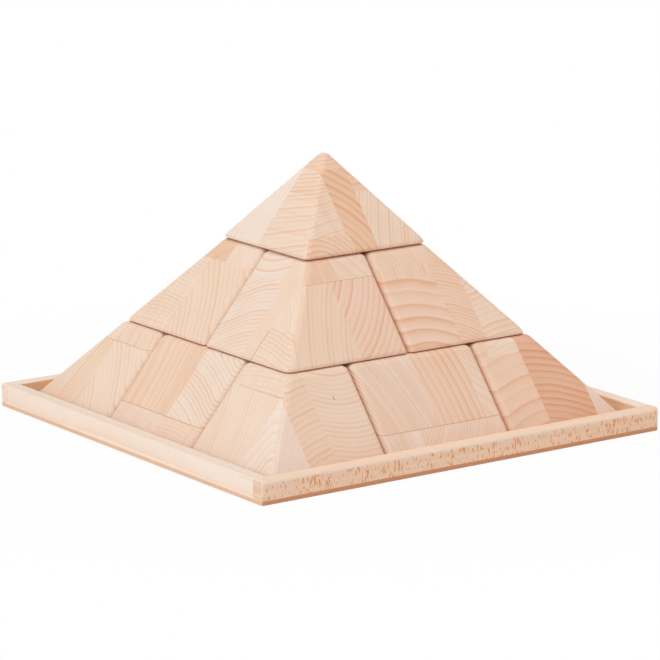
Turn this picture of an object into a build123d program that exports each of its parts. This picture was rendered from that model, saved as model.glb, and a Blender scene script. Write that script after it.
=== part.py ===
"""Wooden block pyramid in a shallow square tray.

Fourteen loose beech blocks stack in three tiers: nine below, four above them, and one capstone.
The two lower tiers are sawn from one square pyramid, so their outer faces run on in four smooth slopes.
The tray is a plywood floor with four rails glued on top, two of them full length and two fitted between.

Units are millimetres. The origin is the centre of the tray's underside, and +Z is up.
-Y is the front, +Y the back, -X the left and +X the right.
"""

import os
from math import sqrt

from build123d import *

# Blocks
PITCH = 101.0  # one block's share of the pyramid's side
TIER_HEIGHT = 60.7
TIERS = 3  # the tier on the tray is this many blocks wide, and each one above it has one less
PYRAMID_HEIGHT = 181.0  # from the tray's floor to where the slopes of the two lower tiers would meet
BLOCK_GAP = 0.4  # left open between two blocks of a tier
CAPSTONE_SIDE = 103.8
CAPSTONE_HEIGHT = 64.2  # to where its slopes, a little steeper than the rest, would meet

# How the blocks' edges are sanded
RIDGE_RADIUS = 6.0  # where two slopes meet, and at the tip
BROW_RADIUS = 8.5  # at the top of each slope
CHEEK_RADIUS = 3.8  # down both sides of each slope and along the other top edges
UPRIGHT_CHAMFER = 1.2  # on the upright edges inside the stack
FOOT_CHAMFER = 1.2  # all round the underside

# Tray
TRAY_PLAY = 1.0  # from the foot of the slopes to the rails, to which the foot's chamfer adds
RAIL_WIDTH = 10.0
RAIL_HEIGHT = 13.0
FLOOR_THICKNESS = 3.0
TRAY_CORNER_RADIUS = 2.5
RAIL_OUTER_CHAMFER = 0.8
RAIL_INNER_RADIUS = 0.8
FLOOR_CHAMFER = 0.5

# Sizes that follow
PYRAMID_SIDE = TIERS * PITCH
CAPSTONE_FLOOR = FLOOR_THICKNESS + (TIERS - 1) * TIER_HEIGHT
WELL_SIDE = PYRAMID_SIDE + 2 * TRAY_PLAY
TRAY_SIDE = WELL_SIDE + 2 * RAIL_WIDTH
BEYOND = 2 * PYRAMID_SIDE  # a tool this long reaches past the whole object
NEAR = 0.01  # two places closer than this are the same

TIER_NAMES = {3: "lower", 2: "middle", 1: "capstone"}


def rounded_pyramid(side, height, floor):
    """A square pyramid that stands at the height floor, with its four ridges and its tip rounded.

    A smaller pyramid is grown on all sides by the radius, which leaves a cylinder along each ridge
    and a ball at the tip. Its base lies deep enough for the rounding there to stay below the floor.
    """
    slope = 2 * height / side
    tip = floor + height - RIDGE_RADIUS * sqrt(1 + slope**2)
    base = floor - RIDGE_RADIUS
    core_height = tip - base
    core_side = 2 * core_height / slope
    centre = core_side / 2
    core = Wedge(core_side, core_height, core_side, centre, centre, centre, centre)
    upright = Pos(0, 0, base + core_height / 2) * Rot(X=90) * core
    return offset(upright, amount=RIDGE_RADIUS, kind=Kind.ARC)


def sawn_blocks(pyramid, floor, height, blocks_wide):
    """The blocks of one tier: a slice of the pyramid that starts at the height floor, sawn both ways."""
    tier = pyramid & Pos(0, 0, floor + height / 2) * Box(BEYOND, BEYOND, height)
    for cut in range(1, blocks_wide):
        at = (cut - blocks_wide / 2) * PITCH
        tier -= Pos(at, 0, 0) * Box(BLOCK_GAP, BEYOND, BEYOND)
        tier -= Pos(0, at, 0) * Box(BEYOND, BLOCK_GAP, BEYOND)
    return tier.solids()


def block_name(block, blocks_wide):
    """A block's name from its tier and its place there, such as middle_front_left or lower_centre."""
    if blocks_wide == 1:
        return TIER_NAMES[1]
    centre = block.center()
    across = PITCH / 4  # a centre nearer the middle than this is in the middle row or column
    words = [TIER_NAMES[blocks_wide]]
    if abs(centre.Y) > across:
        words.append("front" if centre.Y < 0 else "back")
    if abs(centre.X) > across:
        words.append("left" if centre.X < 0 else "right")
    if len(words) == 1:
        words.append("centre")
    return "_".join(words)


def is_slope(face):
    """True for an outer face of the pyramid, and false for a level or upright face that the saw left."""
    return face.geom_type != GeomType.PLANE or NEAR < abs(face.normal_at().Z) < 1 - NEAR


def lie_on(lines):
    """A test for edges: whether the whole of an edge lies along one of the given ones."""
    places = (0.2, 0.5, 0.8)
    return lambda edge: any(all(line.distance_to(edge @ at) < NEAR for at in places) for line in lines)


def sanded(block):
    """Breaks the edges of a sawn block: brows first, then cheeks and the other top edges, then the foot."""
    bottom, *tops = [face.edges() for face in block.faces().filter_by(Plane.XY).sort_by(Axis.Z)]
    top = tops[0] if tops else []  # the capstone has none
    slopes = block.faces().filter_by(is_slope).edges()
    brows = [edge for edge in top if edge in slopes]
    sides = [edge for edge in top if edge not in slopes]
    for face in block.faces().filter_by(is_slope, reverse=True):
        sides += [edge for edge in face.edges() if edge in slopes and edge not in brows + bottom]
    for radius, lines in [(BROW_RADIUS, brows), (CHEEK_RADIUS, sides)]:
        if lines:
            block = block.fillet(radius, block.edges().filter_by(lie_on(lines)))
    return block.chamfer(FOOT_CHAMFER, None, block.faces().sort_by(Axis.Z)[0].edges())


def upright_chamfers(blocks_wide):
    """A post on each crossing of two saw cuts, turned so that it bevels the four upright edges there."""
    crossings = GridLocations(PITCH, PITCH, blocks_wide - 1, blocks_wide - 1)
    width = (BLOCK_GAP + UPRIGHT_CHAMFER) * sqrt(2)
    return [crossing * Rot(Z=45) * Box(width, width, BEYOND) for crossing in crossings]


def blocks():
    """All fourteen blocks by name, each where it rests in the stack."""
    pyramid = rounded_pyramid(PYRAMID_SIDE, PYRAMID_HEIGHT, FLOOR_THICKNESS)
    named = {}
    for blocks_wide in range(TIERS, 1, -1):
        floor = FLOOR_THICKNESS + (TIERS - blocks_wide) * TIER_HEIGHT
        for block in sawn_blocks(pyramid, floor, TIER_HEIGHT, blocks_wide):
            named[block_name(block, blocks_wide)] = sanded(block) - upright_chamfers(blocks_wide)
    steeper_pyramid = rounded_pyramid(CAPSTONE_SIDE, CAPSTONE_HEIGHT, CAPSTONE_FLOOR)
    (capstone,) = sawn_blocks(steeper_pyramid, CAPSTONE_FLOOR, CAPSTONE_HEIGHT, 1)
    return {**named, "capstone": sanded(capstone)}


def tray_floor():
    """The plywood sheet under everything, flush with the rails' outer faces."""
    sheet = extrude(RectangleRounded(TRAY_SIDE, TRAY_SIDE, TRAY_CORNER_RADIUS), FLOOR_THICKNESS)
    return chamfer(sheet.faces().sort_by(Axis.Z)[0].edges(), FLOOR_CHAMFER)


def rail_frame():
    """The four rails in one piece, as they are sanded after gluing."""
    outline = RectangleRounded(TRAY_SIDE, TRAY_SIDE, TRAY_CORNER_RADIUS) - Rectangle(WELL_SIDE, WELL_SIDE)
    frame = extrude(Plane.XY.offset(FLOOR_THICKNESS) * outline, RAIL_HEIGHT)
    frame = chamfer(frame.faces().sort_by(Axis.Z)[-1].outer_wire().edges(), RAIL_OUTER_CHAMFER)
    return fillet(frame.faces().sort_by(Axis.Z)[-1].inner_wires().edges(), RAIL_INNER_RADIUS)


def rails():
    """The front and back rails at full length, and the left and right ones fitted between them."""
    frame = rail_frame()
    out = (WELL_SIDE + BEYOND) / 2
    long_way = Box(BEYOND, BEYOND, BEYOND)
    between = Box(BEYOND, WELL_SIDE, BEYOND)
    return {
        "rail_front": frame & Pos(0, -out, 0) * long_way,
        "rail_back": frame & Pos(0, out, 0) * long_way,
        "rail_left": frame & Pos(-out, 0, 0) * between,
        "rail_right": frame & Pos(out, 0, 0) * between,
    }


parts = {**blocks(), "tray_floor": tray_floor(), **rails()}
os.makedirs("parts", exist_ok=True)
for name, shape in parts.items():
    export_step(shape, f"parts/{name}.step")
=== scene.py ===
from math import cos, radians, sin, tan

import bpy
from mathutils import Matrix, Vector


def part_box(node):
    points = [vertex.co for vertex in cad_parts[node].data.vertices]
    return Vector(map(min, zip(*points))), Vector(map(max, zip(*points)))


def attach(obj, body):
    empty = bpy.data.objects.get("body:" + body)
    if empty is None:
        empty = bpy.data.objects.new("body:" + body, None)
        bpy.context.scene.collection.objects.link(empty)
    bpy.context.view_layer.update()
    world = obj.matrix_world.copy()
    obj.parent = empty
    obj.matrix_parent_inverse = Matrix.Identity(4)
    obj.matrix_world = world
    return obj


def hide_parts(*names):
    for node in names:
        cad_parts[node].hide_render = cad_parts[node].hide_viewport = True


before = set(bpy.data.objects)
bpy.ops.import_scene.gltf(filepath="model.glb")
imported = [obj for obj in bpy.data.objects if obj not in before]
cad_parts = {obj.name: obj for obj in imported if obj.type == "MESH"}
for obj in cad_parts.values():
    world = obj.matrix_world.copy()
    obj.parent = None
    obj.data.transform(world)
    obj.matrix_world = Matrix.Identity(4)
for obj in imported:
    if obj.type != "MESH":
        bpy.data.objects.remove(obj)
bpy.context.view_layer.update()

# --- The camera -------------------------------------------------------------
# A long lens some two and a half metres away, level with a point a third of the way up the stack.
# It looks at the corner between the front and the left, a little more at the front.
CAMERA_AZIMUTH = radians(35.05)
CAMERA_ELEVATION = radians(12.94)
CAMERA_ROLL = radians(-0.31)
CAMERA_DISTANCE = 2.58
CAMERA_AIM = Vector((0.0, -0.0065, 0.0631))

towards_camera = Vector((
    -sin(CAMERA_AZIMUTH) * cos(CAMERA_ELEVATION),
    -cos(CAMERA_AZIMUTH) * cos(CAMERA_ELEVATION),
    sin(CAMERA_ELEVATION),
))
camera_right = Vector((cos(CAMERA_AZIMUTH), -sin(CAMERA_AZIMUTH), 0))
camera_up = towards_camera.cross(camera_right)
turned = Matrix((camera_right, camera_up, towards_camera)).transposed() @ Matrix.Rotation(CAMERA_ROLL, 3, "Z")
camera = bpy.data.objects.new("camera", bpy.data.cameras.new("camera"))
camera.data.lens = 206
camera.data.clip_end = 100
camera.matrix_world = Matrix.Translation(CAMERA_AIM + CAMERA_DISTANCE * towards_camera) @ turned.to_4x4()
bpy.context.scene.collection.objects.link(camera)
bpy.context.scene.camera = camera

# --- The studio -------------------------------------------------------------
# A white table that runs on past the edges of the view, in a white room.
# A wide soft lamp hangs overhead, a cooler one stands on the left and a weak warm one on the right.
WHITE = (1, 1, 1, 1)
TABLE_SIZE = 40
TABLE_WHITE = (0.95, 0.95, 0.95, 1)
WHITE_NEAR, WHITE_FAR = 0.20, 0.45  # metres from the object's middle over which the table turns plain white
WHITE_SHARE = 0.92  # of plain white in the table close to the object, the rest being lit and taking its shadow
ROOM_STRENGTH = 0.39
LAMPS = {  # place, width of the square lamp, watts, colour
    "lamp_overhead": ((-0.2, -0.2, 2.6), 2.2, 31, (1.0, 1.0, 1.0)),
    "lamp_left": ((-2.85, -0.3, 1.1), 1.6, 31, (0.86, 0.96, 1.0)),
    "lamp_right": ((1.7, -2.4, 1.1), 1.6, 13, (1.0, 0.80, 0.64)),
}


class Socket:
    """A shader socket that Python's operators work on, each adding its Math node."""

    def __init__(self, nodes, out):
        self.nodes, self.out = nodes, out

    def maths(self, operation, *values):
        return self.nodes.add("ShaderNodeMath", {"operation": operation}, dict(enumerate(values)))

    def __add__(self, other):
        return self.maths("ADD", self, other)

    def __sub__(self, other):
        return self.maths("SUBTRACT", self, other)

    def __rsub__(self, other):
        return self.maths("SUBTRACT", other, self)

    def __mul__(self, other):
        return self.maths("MULTIPLY", self, other)

    def __truediv__(self, other):
        return self.maths("DIVIDE", self, other)

    def __gt__(self, other):
        return self.maths("GREATER_THAN", self, other)

    def __lt__(self, other):
        return self.maths("LESS_THAN", self, other)

    def __abs__(self):
        return self.maths("ABSOLUTE", self)

    __radd__ = __add__


class Nodes:
    """The node tree of a material or of the world."""

    def __init__(self, owner):
        owner.use_nodes = True
        self.tree = owner.node_tree
        self.tree.nodes.clear()

    def add(self, kind, settings={}, sockets={}, out=0):
        """Adds a node: its settings first, then its sockets' values or links. Gives the wanted output, if any."""
        node = self.tree.nodes.new(kind)
        for key, value in settings.items():
            setattr(node, key, value)
        for key, value in sockets.items():
            if isinstance(value, Socket):
                self.tree.links.new(value.out, node.inputs[key])
            else:
                node.inputs[key].default_value = value
        return Socket(self, node.outputs[out]) if node.outputs else None

    def seen_plainly(self):
        """1 where the camera looks at something itself, in a reflection or through glass."""
        rays = ("Is Camera Ray", "Is Glossy Ray", "Is Transmission Ray")
        direct, mirrored, through = [self.add("ShaderNodeLightPath", out=ray) for ray in rays]
        return direct.maths("MAXIMUM", direct.maths("MAXIMUM", direct, mirrored), through)


bpy.context.scene.view_settings.view_transform = "Standard"
bpy.context.scene.world = bpy.data.worlds.new("white_room")
room = Nodes(bpy.context.scene.world)
light = room.add("ShaderNodeBackground", {}, {"Color": WHITE, "Strength": ROOM_STRENGTH})
white = room.add("ShaderNodeBackground", {}, {"Color": WHITE, "Strength": 1})
seen = room.add("ShaderNodeMixShader", {}, {0: room.seen_plainly(), 1: light, 2: white})
room.add("ShaderNodeOutputWorld", {}, {0: seen})

paper = bpy.data.materials.new("white_paper")
nodes = Nodes(paper)
from_middle = nodes.add("ShaderNodeVectorMath", {"operation": "LENGTH"},
                        {0: nodes.add("ShaderNodeTexCoord", out="Object")}, out="Value")
far = nodes.add("ShaderNodeMapRange", {"interpolation_type": "SMOOTHSTEP"}, {
    "Value": from_middle, "From Min": WHITE_NEAR, "From Max": WHITE_FAR, "To Min": WHITE_SHARE, "To Max": 1})
lit = nodes.add("ShaderNodeBsdfDiffuse", {}, {"Color": TABLE_WHITE})
plain = nodes.add("ShaderNodeEmission", {}, {"Color": WHITE, "Strength": 1})
mixed = nodes.add("ShaderNodeMixShader", {}, {0: nodes.seen_plainly() * far, 1: lit, 2: plain})
nodes.add("ShaderNodeOutputMaterial", {}, {0: mixed})

bpy.ops.object.select_all(action="DESELECT")
bpy.ops.mesh.primitive_plane_add(size=TABLE_SIZE)
table = bpy.context.object
table.name = "table"
table.data.materials.append(paper)

for name, (place, size, watts, colour) in LAMPS.items():
    lamp = bpy.data.lights.new(name, "AREA")
    lamp.size, lamp.energy, lamp.color = size, watts, colour
    stand = bpy.data.objects.new(name, lamp)
    stand.location = place
    stand.rotation_euler = (CAMERA_AIM - Vector(place)).to_track_quat("-Z", "Y").to_euler()
    bpy.context.scene.collection.objects.link(stand)

# --- The capstone -----------------------------------------------------------
# A small pyramid of beech, sawn from a slab of short offcuts glued edge to edge and face to face.
# So the grain changes along straight glue joints, and every offcut shows its own part of the tree's rings.
# It lies loose on the blocks below, and its edges are eased by hand.
HALF_SAW_GAP = 0.0002  # half the slit between two blocks of a tier, in metres as all of these are
left, right = [corner.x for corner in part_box("lower_front")]
PITCH = right - left + 2 * HALF_SAW_GAP  # from one block's middle to the next
PYRAMID_HALF_WIDTH, PYRAMID_HEIGHT = 1.5 * PITCH, 0.181  # the sharp pyramid that both lower tiers are sawn from
CAPSTONE_HALF_WIDTH, CAPSTONE_HEIGHT = 0.0519, 0.0642  # the capstone before its tip is rounded
TRAY_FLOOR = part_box("lower_centre")[0].z
NEAR = 0.001  # two places closer than this are the same

# The radii of the eased edges
RIDGE, CAPSTONE_RIDGE = 0.0085, 0.00556  # where two slopes meet
BROW = 0.0085  # at the top of a slope
CHEEK = 0.005  # down the sides of a slope, and along the other top edges
FOOT = 0.0024  # at the bottom of a slope
ARRIS = 0.0012  # on all the edges inside the stack
WIDEST_EASING = 0.01  # more than any edge loses on either side of it
EASING_STEPS = 5

# Beech in its lighter and darker offcuts
CREAM = (0.880, 0.695, 0.575)
ROSE = (0.862, 0.668, 0.545)
PALE = (0.870, 0.655, 0.512)
STRAW = (0.860, 0.625, 0.470)
PEACH = (0.858, 0.594, 0.440)
PINK = (0.860, 0.605, 0.465)
AMBER = (0.835, 0.545, 0.375)
RED = (0.790, 0.472, 0.325)

# What these turn the wood to, as shares of its colour
EARLY_WOOD = (1.02, 1.05, 1.08)  # the pale start of a ring
LATE_WOOD = (0.935, 0.740, 0.590)  # its dark end
GLUE = (0.840, 0.660, 0.560)  # a glue joint that shows
SLIT_SHADE = (0.880, 0.690, 0.570)  # painted shade: darkens the upright faces inside the stack, for the shade in the slits between blocks
FOOT_SHADE = (0.560, 0.225, 0.130)  # painted shade: the underside and the lowest part of the foot's rounding, darkened as the shadow line where a block stands on the one below

# How beech varies, in millimetres
RING_DARKNESS = ((0.12, 0.0), (0.5, 0.2), (0.82, 0.52), (0.93, 1.0))  # at shares of a ring's width
RING_BORDER = (0.4, 0.4, 0.4, 1)  # the darkness where one ring ends and the next starts
WANDER = ((45, 3.5), (9, 0.9), (2.5, 0.3))  # how long the waves in the rings are, and how far they go
STRETCH = 0.85  # how much of its length the pattern loses along the grain, so that it looks drawn out
FIBRE_SIZE, CLOUD_SIZE = 0.7, 22  # of the fine streaks, and of the broad soft patches
RAY_SIZE = 0.012  # a ray's width as seen from the pith, in radians
SLIT_SHADE_DEPTH, SLIT_SHADE_FROM = 0.35, 1.7  # how far in from a sawn side the painted slit shade goes, and how high it starts
FOOT_SHADE_HEIGHT = 0.75  # how far up from the underside the painted foot shade goes

ALONG_X, ALONG_Y = (1, 0, 0), (0, 1, 0)


class Beech(Nodes):
    """A block of beech, glued up from offcuts that are listed from the first to the last one laid over it.

    An offcut is a test of where it is, the direction of its grain, a point on the tree's pith, the width of
    a ring, how dark the rings end, how strongly the rays show across them, and its colour. Lengths are in
    millimetres from the middle of the block's underside.
    """

    def vector_maths(self, operation, *values, out="Vector"):
        return self.add("ShaderNodeVectorMath", {"operation": operation}, dict(enumerate(values)), out)

    def mix(self, share, first, second):
        return self.add("ShaderNodeMix", {"data_type": "VECTOR"}, {0: share, 4: first, 5: second}, out=1)

    def noise(self, place, size, detail=2.0):
        """Soft noise round 0, from about -0.5 to 0.5, with patches of the given size."""
        return self.add("ShaderNodeTexNoise", {}, {"Vector": place, "Scale": 1 / size, "Detail": detail}) - 0.5

    def nearest(self, first, *others):
        """The smallest of several distances."""
        for other in others:
            first = first.maths("MINIMUM", first, other)
        return first

    def apart(self, vector):
        """The three values of a vector."""
        return [self.add("ShaderNodeSeparateXYZ", {}, {0: vector}, axis) for axis in "XYZ"]

    def tint(self, share, colour, by):
        """The colour, multiplied by another one where the share is 1."""
        return self.mix(share, colour, self.vector_maths("MULTIPLY", colour, by))

    def millimetres(self, middle=(0, 0, 0)):
        """Where a point of the piece lies from the given middle, which is in metres."""
        return self.add("ShaderNodeMapping", {}, {
            "Vector": self.add("ShaderNodeTexCoord", out="Object"),
            "Location": [-1000 * value for value in middle],
            "Scale": (1000, 1000, 1000),
        })

    def finish(self, offcuts, middle, box=None, glue_joints=(), flecks=None):
        """Lays out the whole material. A box, if there is one, gets painted shade: darker sides for the slits
        between blocks, and a darker underside and foot for the shadow line under each block.
        """
        place = self.millimetres(middle)
        x, y, z = self.apart(place)
        chosen = []
        for where, grain, pith, ring, late, rays, colour in offcuts:
            traits = [tuple(Vector(grain).normalized()), pith, (ring, late, rays), colour]
            if chosen:
                inside = where(x, y, z)
                chosen = [self.mix(inside, before, trait) for before, trait in zip(chosen, traits)]
            else:
                chosen = traits
        grain, pith, looks, colour = chosen
        ring, late, rays = self.apart(looks)

        # The distance from the pith counts the rings, and the wood's own wander waves them.
        along = self.vector_maths("DOT_PRODUCT", place, grain, out="Value")
        lengthwise = self.add("ShaderNodeVectorMath", {"operation": "SCALE"},
                              {"Vector": grain, "Scale": along * STRETCH})
        shortened = self.vector_maths("SUBTRACT", place, lengthwise)
        across = self.vector_maths("CROSS_PRODUCT", self.vector_maths("SUBTRACT", place, pith), grain)
        radius = self.vector_maths("LENGTH", across, out="Value")
        wander = sum(self.noise(shortened, size) * depth for size, depth in WANDER)
        turns = (radius + wander) / ring
        number = turns.maths("FLOOR", turns)
        growth = turns - number
        strength = self.add("ShaderNodeTexWhiteNoise", {"noise_dimensions": "1D"}, {"W": number})
        line = self.add("ShaderNodeValToRGB", {}, {"Fac": growth})
        stops = line.out.node.color_ramp
        stops.interpolation = "EASE"
        for at, dark in RING_DARKNESS:
            stops.elements.new(at).color = (dark, dark, dark, 1)
        stops.elements[0].color = stops.elements[-1].color = RING_BORDER

        # Rays run from the pith outwards, across the rings.
        outwards = self.vector_maths("NORMALIZE", across)
        ray = self.noise(outwards, RAY_SIZE)
        fibre = self.noise(shortened, FIBRE_SIZE, 3.0)
        cloud = self.noise(shortened, CLOUD_SIZE)
        uneven = 0.3 + strength * 1.2  # one ring ends darker than the next
        darkness = line * late * uneven + rays * abs(ray) * 2 + fibre * 0.6 + cloud * 0.4
        colour = self.vector_maths("MULTIPLY", colour, self.mix(darkness, EARLY_WOOD, LATE_WOOD))
        for joint in glue_joints:
            colour = self.tint(joint(x, y, z), colour, GLUE)
        if flecks:
            upright = self.vector_maths("MULTIPLY", place, FLECK_STRETCH)
            crowd = sum(self.noise(place, size) * share for size, share in FLECK_CROWDS)
            dashes = self.noise(upright, FLECK_SIZE, 1.0) + crowd
            dark = self.add("ShaderNodeMapRange", {"interpolation_type": "SMOOTHSTEP"},
                            {"Value": dashes, "From Min": FLECK_FROM, "From Max": FLECK_FULL})
            colour = self.tint(dark * flecks(x, y, z), colour, FLECK)
        if box:
            (left, front, under), (right, back, _) = box
            inwards, height = self.nearest(x - left, right - x, y - front, back - y), z - under
            # painted shade: the upright sides inside the stack are darkened, for the shade in the slits between
            # blocks
            colour = self.tint((inwards < SLIT_SHADE_DEPTH) * (height > SLIT_SHADE_FROM), colour, SLIT_SHADE)
            # painted shade: the underside and the foot's lowest part are darkened, as the shadow line under each
            # block
            colour = self.tint(height < FOOT_SHADE_HEIGHT, colour, FOOT_SHADE)
        relief = self.add("ShaderNodeBump", {}, {"Strength": 0.25, "Distance": 0.0002, "Height": darkness})
        self.add("ShaderNodeOutputMaterial", {}, {0: self.add("ShaderNodeBsdfPrincipled", {}, {
            "Base Color": colour, "Roughness": 0.62 + fibre * 0.1, "Normal": relief, "Specular IOR Level": 0.3})})


def slope_of(node):
    """How far a slope's foot is from the object's middle, how far its top comes in, and how high it goes."""
    if node == "capstone":
        return CAPSTONE_HALF_WIDTH, CAPSTONE_HALF_WIDTH, CAPSTONE_HEIGHT
    low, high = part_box(node)
    run = PYRAMID_HALF_WIDTH / PYRAMID_HEIGHT  # for each metre up
    return PYRAMID_HALF_WIDTH - (low.z - TRAY_FLOOR) * run, (high.z - low.z) * run, high.z - low.z


def side_at(node, place, way):
    """Where the block's foot ends on one side, and how far the top is pulled in from there.

    The place is the block's column or row, and the way is -1 for its left or front and 1 for its right or back.
    """
    half_width, run, _ = slope_of(node)
    edge = (place + way * 0.5) * PITCH
    if abs(edge) > half_width - PITCH / 4:
        return way * half_width, -way * run
    return edge - way * HALF_SAW_GAP, 0


def pull_in_top(block, axis, side, distance):
    """Moves the top corners on one side of an upright block, which makes that side a slope."""
    top = max(corner.co.z for corner in block.data.vertices)
    bpy.ops.object.mode_set(mode="EDIT")
    bpy.ops.mesh.select_all(action="DESELECT")
    bpy.ops.object.mode_set(mode="OBJECT")
    for corner in block.data.vertices:
        corner.select = corner.co.z > top - NEAR and abs(corner.co[axis] - side) < NEAR
    bpy.ops.object.mode_set(mode="EDIT")
    bpy.ops.mesh.select_mode(type="VERT")
    inwards = Vector()
    inwards[axis] = distance
    bpy.ops.transform.translate(value=inwards)
    bpy.ops.object.mode_set(mode="OBJECT")


def sawn_block(node, column, row):
    """The block with sharp edges: an upright one first, which then gets its slopes."""
    floor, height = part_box(node)[0].z, slope_of(node)[2]
    (left, from_left), (right, from_right) = [side_at(node, column, way) for way in (-1, 1)]
    (front, from_front), (back, from_back) = [side_at(node, row, way) for way in (-1, 1)]
    start, end = Vector((left, front, floor)), Vector((right, back, floor + height))
    bpy.ops.object.select_all(action="DESELECT")
    bpy.ops.mesh.primitive_cube_add(size=1, location=(start + end) / 2, scale=end - start)
    bpy.ops.object.transform_apply(location=True, rotation=False, scale=True)
    block = bpy.context.object
    block.name = "eased_" + node
    for axis, side, distance in [(0, left, from_left), (0, right, from_right),
                                 (1, front, from_front), (1, back, from_back)]:
        if distance:
            pull_in_top(block, axis, side, distance)
    if node == "capstone":  # its four top corners have met, and are joined into the tip
        bpy.ops.object.mode_set(mode="EDIT")
        bpy.ops.mesh.select_all(action="SELECT")
        bpy.ops.mesh.remove_doubles()
        bpy.ops.object.mode_set(mode="OBJECT")
    return block


def kind(face):
    """What a face of a sawn block is, from how far it looks up."""
    up = face.normal.z
    return "top" if up > 0.9 else "slope" if up > 0.1 else "side" if up > -0.1 else "underside"


def ease(block, ridge):
    """Rounds the edges, each by what the two faces are that meet there."""
    radii = {("slope", "slope"): ridge, ("slope", "top"): BROW, ("slope", "underside"): FOOT,
             ("side", "slope"): CHEEK, ("side", "top"): CHEEK}
    weights = block.data.attributes.new("bevel_weight_edge", "FLOAT", "EDGE").data
    for edge in block.data.edges:
        first, second = [face for face in block.data.polygons if set(edge.vertices) <= set(face.vertices)]
        radius = radii.get(tuple(sorted((kind(first), kind(second)))), ARRIS)
        width = radius * tan(first.normal.angle(second.normal) / 2)  # from the edge to where the rounding starts
        weights[edge.index].value = width / WIDEST_EASING
    bpy.ops.object.shade_smooth()
    easing = block.modifiers.new("easing", "BEVEL")
    easing.width, easing.segments, easing.limit_method = WIDEST_EASING, EASING_STEPS, "WEIGHT"
    easing.use_clamp_overlap, easing.harden_normals = False, True
    bpy.ops.object.modifier_apply(modifier="easing")


def set_in_beech(node, column, row, offcuts, glue_joints=()):
    """Makes a block of its wood. Columns count to the right and rows to the back, from the pyramid's middle."""
    block = sawn_block(node, column, row)
    ease(block, CAPSTONE_RIDGE if node == "capstone" else RIDGE)
    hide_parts(node)
    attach(block, "tray" if node == "lower_centre" else node)
    wood = bpy.data.materials.new("beech_" + node)
    low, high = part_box(node)
    middle = Vector((column * PITCH, row * PITCH, low.z))
    box = [tuple((corner - middle) * 1000) for corner in (low, high)]
    Beech(wood).finish(offcuts, middle, box, glue_joints)
    block.data.materials.append(wood)


set_in_beech("capstone", 0, 0, [
    (None, ALONG_Y, (90, 0, -60), 3.2, 0.7, 0.3, PALE),
    (lambda x, y, z: y > 7, ALONG_X, (0, 160, 40), 5.0, 0.3, 0.3, CREAM),
    (lambda x, y, z: (x < 9.6) * (y < 7), ALONG_Y, (-48, 0, -27), 5.0, 1.2, 0.1, AMBER),
    (lambda x, y, z: (x > 9.6) * (z < 36) * (y < 7), ALONG_Y, (175, 0, -66), 2.7, 0.8, 0.3, PALE),
    (lambda x, y, z: (x > 9.6) * (z > 36) * (y < 7), ALONG_Y, (20, 0, -200), 3.4, 1.0, 0.1, PEACH),
    (lambda x, y, z: (x < -11) * (y < 7), (0, 1, -0.17), (1, -47, -136), 2.4, 0.8, 0.8, PALE),
    (lambda x, y, z: (z > 51) * (y < 7), (0, 1, -0.17), (1, -47, -136), 2.4, 0.8, 0.3, PEACH),
    (lambda x, y, z: (z < 12.5) * (x < -9) * (x > y) * (y < 0), ALONG_Y, (-40, 0, -17), 3.2, 1.0, 0.1, PEACH),
])

# --- The middle tier --------------------------------------------------------
# Four loose blocks, each with slopes on its two outer sides, that stand as a square under the capstone.
# They are sawn from the same kind of glued-up beech, and nothing but their weight holds them.
set_in_beech("middle_front_left", -0.5, -0.5, [
    (None, ALONG_X, (0, -8, -67), 2.6, 1.0, 0.1, ROSE),
    (lambda x, y, z: (z > 46) * (y > 7), ALONG_X, (0, 42, 115), 3.3, 0.9, 0.1, ROSE),
    (lambda x, y, z: (y < 7 + (z > 43) * 6) * (x < y), ALONG_X, (0, -60, 120), 2.2, 0.3, 0.2, STRAW),
    (lambda x, y, z: (y < -6) * (z < 46) * (x < y), ALONG_X, (0, 30, -24), 2.2, 0.6, 0.2, PALE),
    (lambda x, y, z: (y < -6) * (z < 22) * (x < y), ALONG_X, (0, 0, -150), 2.2, 0.7, 0.5, PALE),
    (lambda x, y, z: x > y, ALONG_Y, (168, 0, -66), 3.3, 0.6, 0.1, STRAW),
    (lambda x, y, z: (x > y) * (x > 12), ALONG_Y, (-34, 0, 86), 3.8, 1.1, 0.1, PINK),
    (lambda x, y, z: (x > y) * (z > 47.3), ALONG_Y, (-150, 0, 40), 2.0, 0.7, 0.4, PEACH),
    (lambda x, y, z: (x > y) * (z > 47.3) * (x > 19), ALONG_Y, (-84, 0, -46), 2.4, 0.8, 0.2, PALE),
], [
    lambda x, y, z: (abs(z - 47.3) < 0.15) * (x > y),
    lambda x, y, z: (abs(y + 6) < 0.3) * (z < 20) * (x < y),
    lambda x, y, z: (abs(y + 6) < 0.2) * (z < 20) * (x < y),  # the same joint, darker in its middle
])
set_in_beech("middle_front_right", 0.5, -0.5, [
    (None, ALONG_Y, (-39, 0, -62), 7.5, 1.2, 0.0, PINK),
    (lambda x, y, z: x > -7, ALONG_Y, (-25, 0, -60), 2.3, 0.9, 0.3, PEACH),
    (lambda x, y, z: x > 13.6, ALONG_Y, (40, 0, -110), 3.2, 0.8, 0.1, PALE),
    (lambda x, y, z: (z > 43) * (x < -7), ALONG_Y, (-200, 0, 46), 3.0, 0.8, 0.2, STRAW),
    (lambda x, y, z: (z > 50) * (x < 10), ALONG_Y, (-107, 0, 16), 2.6, 0.7, 0.3, STRAW),
])
set_in_beech("middle_back_left", -0.5, 0.5, [
    (None, ALONG_X, (0, 20, -150), 2.2, 0.5, 1.0, PALE),
    (lambda x, y, z: y < -2, ALONG_X, (0, 89, -74), 4.2, 0.7, 0.1, STRAW),
    (lambda x, y, z: z > 48, ALONG_X, (0, -39, 3), 2.2, 1.3, 0.1, AMBER),
    (lambda x, y, z: (z > 48) * (y < -20), ALONG_X, (0, 89, -74), 1.6, 0.3, 1.0, PALE),
])
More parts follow.
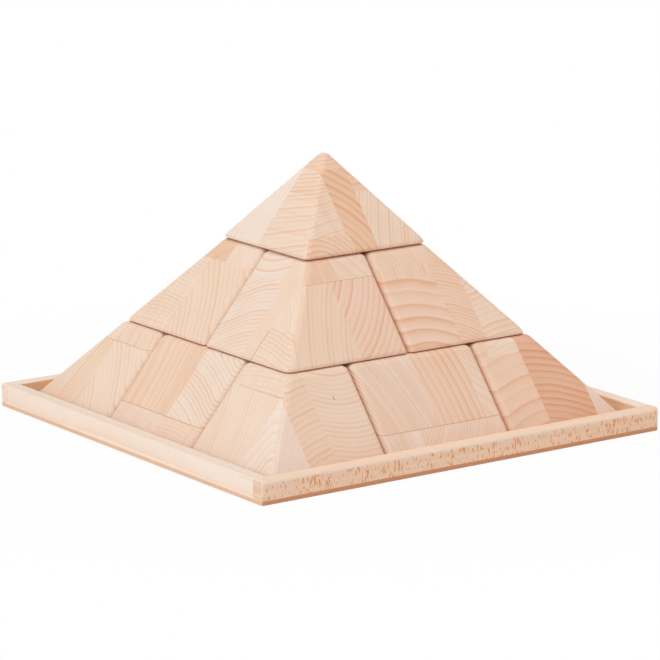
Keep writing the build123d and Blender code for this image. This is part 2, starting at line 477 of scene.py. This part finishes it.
set_in_beech("middle_back_right", 0.5, 0.5, [
    (None, ALONG_X, (0, -30, -90), 3.4, 0.8, 0.2, STRAW),
    (lambda x, y, z: y > 12, ALONG_X, (0, 110, 20), 2.6, 0.6, 0.3, PALE),
    (lambda x, y, z: (z > 48) * (x > -8), ALONG_Y, (60, 0, 130), 4.4, 0.9, 0.1, PINK),
])

# --- The lower tier ---------------------------------------------------------
# Nine loose blocks fill the tray: four with slopes on two sides, four with one slope, and a plain one in the middle.
# Their slopes run on from those of the middle tier, since both tiers come from one pyramid of glued-up beech.
set_in_beech("lower_front_left", -1, -1, [
    (None, ALONG_X, (0, 150, -30), 3.4, 0.5, 0.2, PALE),
    (lambda x, y, z: y < -8, (0.55, 0, 0.79), (21, 5, 1), 2.6, 0.7, 0.1, CREAM),
    (lambda x, y, z: z > 48.6, ALONG_X, (0, 0, -200), 2.6, 0.6, 0.8, PALE),
    (lambda x, y, z: (x > y) * (x < -10.8), ALONG_Y, (140, 0, -100), 2.2, 0.3, 0.3, CREAM),
    (lambda x, y, z: (x > y) * (x > -10.8), ALONG_Y, (34, 0, -120), 3.2, 0.7, 0.2, STRAW),
    (lambda x, y, z: (x > y) * (x > 11), ALONG_Y, (38, 0, 110), 2.7, 0.75, 0.3, PALE),
], [
    lambda x, y, z: (abs(z - 48.6) < 0.2) * (x < y) * (y < 40),
    *[lambda x, y, z: (abs(x - 28) < 0.4) * (abs(z - 44.6) < 1) * (x > y)] * 2,  # a pin knot, darkened twice
])
set_in_beech("lower_front", 0, -1, [
    (None, ALONG_Y, (-180, 0, -16), 1.9, 1.4, 0.2, ROSE),
    (lambda x, y, z: x > -2, ALONG_Y, (-150, 0, 20), 5.7, 0.9, 0.2, PEACH),
    (lambda x, y, z: x > 36.5, ALONG_Y, (-33, 0, -54), 1.8, 1.0, 0.1, PALE),
    (lambda x, y, z: z < 19.5, ALONG_Y, (-220, 0, 10), 1.7, 1.0, 0.3, ROSE),
    (lambda x, y, z: (z < 19.5) * (x > -27), ALONG_Y, (170, 0, 30), 4.0, 0.3, 0.1, CREAM),
    (lambda x, y, z: (z < 19.5) * (x > -20), ALONG_Y, (-110, 0, 120), 1.9, 0.7, 0.3, PALE),
], [lambda x, y, z: abs(z - 19.5) < 0.25])
set_in_beech("lower_front_right", 1, -1, [
    (None, ALONG_Y, (-3, 0, -100), 7.0, 0.7, 0.1, PEACH),
    (lambda x, y, z: (z > 52) * (x > -42), ALONG_Y, (-3, 0, -100), 3.0, 0.6, 0.1, PALE),
    (lambda x, y, z: x > -16, ALONG_Y, (-29, 0, -98), 4.0, 1.4, 0.1, RED),
    (lambda x, y, z: x > 24, ALONG_Y, (-100, 0, -110), 2.0, 0.5, 0.1, PALE),
])
set_in_beech("lower_left", -1, 0, [
    (None, ALONG_X, (0, 25, -130), 2.3, 0.8, 0.1, ROSE),
    (lambda x, y, z: y > -8, ALONG_X, (0, 170, 10), 2.3, 1.3, 0.2, STRAW),
    (lambda x, y, z: z < 20, ALONG_X, (0, 190, 40), 2.0, 0.6, 0.5, ROSE),
    (lambda x, y, z: (z < 20) * (y < -4.5), ALONG_X, (0, -20, -150), 2.0, 0.6, 1.0, PALE),
], [lambda x, y, z: abs(z - 20) < 0.25])
set_in_beech("lower_back_left", -1, 1, [
    (None, ALONG_X, (0, -133, -16), 4.0, 0.8, 0.1, STRAW),
    (lambda x, y, z: y < -8, ALONG_X, (0, 78, -73), 3.5, 0.6, 0.1, PALE),
    (lambda x, y, z: z > 49.4, ALONG_X, (0, 30, 20), 4.0, 0.5, 0.1, PALE),
    (lambda x, y, z: (z > 49.4) * (y < -8), ALONG_X, (0, 160, 0), 3.0, 0.9, 0.1, STRAW),
], [lambda x, y, z: abs(z - 49.4) < 0.2])
set_in_beech("lower_back", 0, 1, [
    (None, ALONG_Y, (60, 0, -70), 3.1, 0.8, 0.2, STRAW),
    (lambda x, y, z: x < -14, ALONG_Y, (-140, 0, 30), 2.7, 0.6, 0.3, PALE),
    (lambda x, y, z: z > 41, ALONG_Y, (20, 0, -130), 2.4, 0.6, 0.5, PEACH),
])
set_in_beech("lower_right", 1, 0, [
    (None, ALONG_X, (0, -50, 130), 3.6, 0.8, 0.2, PALE),
    (lambda x, y, z: y > 9, ALONG_X, (0, 120, 10), 2.5, 0.7, 0.2, PINK),
    (lambda x, y, z: z < 22, ALONG_X, (0, -80, -70), 4.4, 0.8, 0.1, STRAW),
])
set_in_beech("lower_back_right", 1, 1, [
    (None, ALONG_X, (0, -60, -80), 3.3, 0.8, 0.2, STRAW),
    (lambda x, y, z: x < y, ALONG_Y, (70, 0, -90), 4.2, 0.9, 0.1, PEACH),
    (lambda x, y, z: z > 47, ALONG_Y, (10, 0, -150), 2.3, 0.5, 0.6, PALE),
])
set_in_beech("lower_centre", 0, 0, [
    (None, ALONG_X, (0, 40, -90), 3.2, 0.8, 0.2, STRAW),
    (lambda x, y, z: x > 17, ALONG_X, (0, -130, 20), 2.6, 0.6, 0.2, PALE),
    (lambda x, y, z: z > 40, ALONG_Y, (30, 0, -110), 3.8, 0.8, 0.2, PINK),
])

# --- The tray's rails -------------------------------------------------------
# Planed beech strips, glued on round the floor: two at full length, and two fitted between them.
# The front one is cut so that its rays show as short dark flecks, and its ends show its rings as level stripes.
RAIL_END_AT, RAIL_TOP_AT = 162.2, 12.5  # millimetres out from the middle, and up from the floor
FLECK = (0.86, 0.52, 0.30)  # as a share of the colour around it
FLECK_SIZE, FLECK_STRETCH = 1.15, (1, 1, 0.3)  # millimetres, and what draws a fleck out upwards
FLECK_CROWDS = ((11, 0.35), (3, 0.15))  # how large the patches with more flecks are, and how much more they have
FLECK_FROM, FLECK_FULL = 0.055, 0.21  # where in the noise a fleck starts, and where it is darkest
RAIL_PALE = (0.940, 0.738, 0.605)
RAIL_STRAW = (0.915, 0.685, 0.510)
RAIL_INSIDE = (0.920, 0.640, 0.420)
RAIL_TAN = (0.910, 0.655, 0.480)
RAIL_END = (0.860, 0.640, 0.510)
RAIL_WHITE = (0.870, 0.705, 0.580)


def cover(node, material):
    """Gives a piece of the frame its material."""
    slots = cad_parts[node].data.materials
    slots.clear()
    slots.append(material)


def set_rail(node, offcuts, flecks=None):
    wood = bpy.data.materials.new("beech_" + node)
    Beech(wood).finish(offcuts, (0, 0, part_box(node)[0].z), flecks=flecks)
    cover(node, wood)


set_rail("rail_front", [
    (None, ALONG_X, (0, -157, -300), 1.3, 0.8, 0.0, RAIL_TAN),
    (lambda x, y, z: z > 10.6, ALONG_X, (0, -157, -300), 1.3, 0.4, 0.0, RAIL_PALE),
    (lambda x, y, z: z > RAIL_TOP_AT, ALONG_X, (0, 60, -60), 1.8, 0.7, 0.0, RAIL_STRAW),
    (lambda x, y, z: abs(x) > RAIL_END_AT, ALONG_X, (0, -157, -300), 1.6, 2.4, 0.0, RAIL_END),
], lambda x, y, z: (z < 11) * (abs(x) < RAIL_END_AT))
set_rail("rail_back", [
    (None, ALONG_X, (0, -60, -300), 1.8, 0.5, 0.0, RAIL_INSIDE),
    (lambda x, y, z: z > RAIL_TOP_AT, ALONG_X, (0, -60, -300), 1.8, 0.3, 0.0, RAIL_PALE),
    (lambda x, y, z: abs(x) > RAIL_END_AT, ALONG_X, (0, -60, -300), 1.7, 1.3, 0.0, RAIL_PALE),
])
set_rail("rail_left", [
    (None, ALONG_Y, (-300, 0, 40), 2.6, 0.4, 0.0, RAIL_PALE),
    (lambda x, y, z: z > RAIL_TOP_AT, ALONG_Y, (-300, 0, 40), 2.6, 0.4, 0.0, RAIL_WHITE),
])
set_rail("rail_right", [
    (None, ALONG_Y, (300, 0, 60), 2.2, 0.5, 0.0, RAIL_INSIDE),
    (lambda x, y, z: z > RAIL_TOP_AT, ALONG_Y, (300, 0, 60), 2.2, 0.3, 0.0, RAIL_PALE),
])

# --- The tray's floor -------------------------------------------------------
# A thin sheet of plywood, which the rails are glued to, flush with their outer faces.
# Its edge shows the plies: brown end grain at the front and back, paler at the sides.
PLYWOOD_FACE = (0.800, 0.600, 0.420)
PLYWOOD_SIDE = (0.850, 0.525, 0.345)
PLYWOOD_END = (0.640, 0.300, 0.150)
PLY_DARK = (0.86, 0.78, 0.72)  # as a share of the colour around it
PLY = 1.0  # thickness of a ply, in millimetres
EDGE_FROM = 155  # millimetres out from the middle, where only the sheet's edge shows

plywood = bpy.data.materials.new("plywood")
nodes = Beech(plywood)
place = nodes.millimetres()
x, y, z = nodes.apart(place)
edge = nodes.mix(abs(y) > abs(x), PLYWOOD_SIDE, PLYWOOD_END)
fibre = nodes.noise(nodes.vector_maths("MULTIPLY", place, (0.4, 0.4, 3)), 1.2, 3.0)
core = abs(z - 1.5 * PLY) < PLY / 2
edge = nodes.tint(core * 0.35 + fibre * 0.5, edge, PLY_DARK)
grain = nodes.noise(nodes.vector_maths("MULTIPLY", place, (0.04, 1, 1)), 2.5, 3.0)
face = nodes.tint(grain, PLYWOOD_FACE, PLY_DARK)
on_edge = nodes.nearest(EDGE_FROM - abs(x), EDGE_FROM - abs(y)) < 0
nodes.add("ShaderNodeOutputMaterial", {}, {0: nodes.add("ShaderNodeBsdfPrincipled", {}, {
    "Base Color": nodes.mix(on_edge, face, edge), "Roughness": 0.6 + fibre * 0.1})})
cover("tray_floor", plywood)
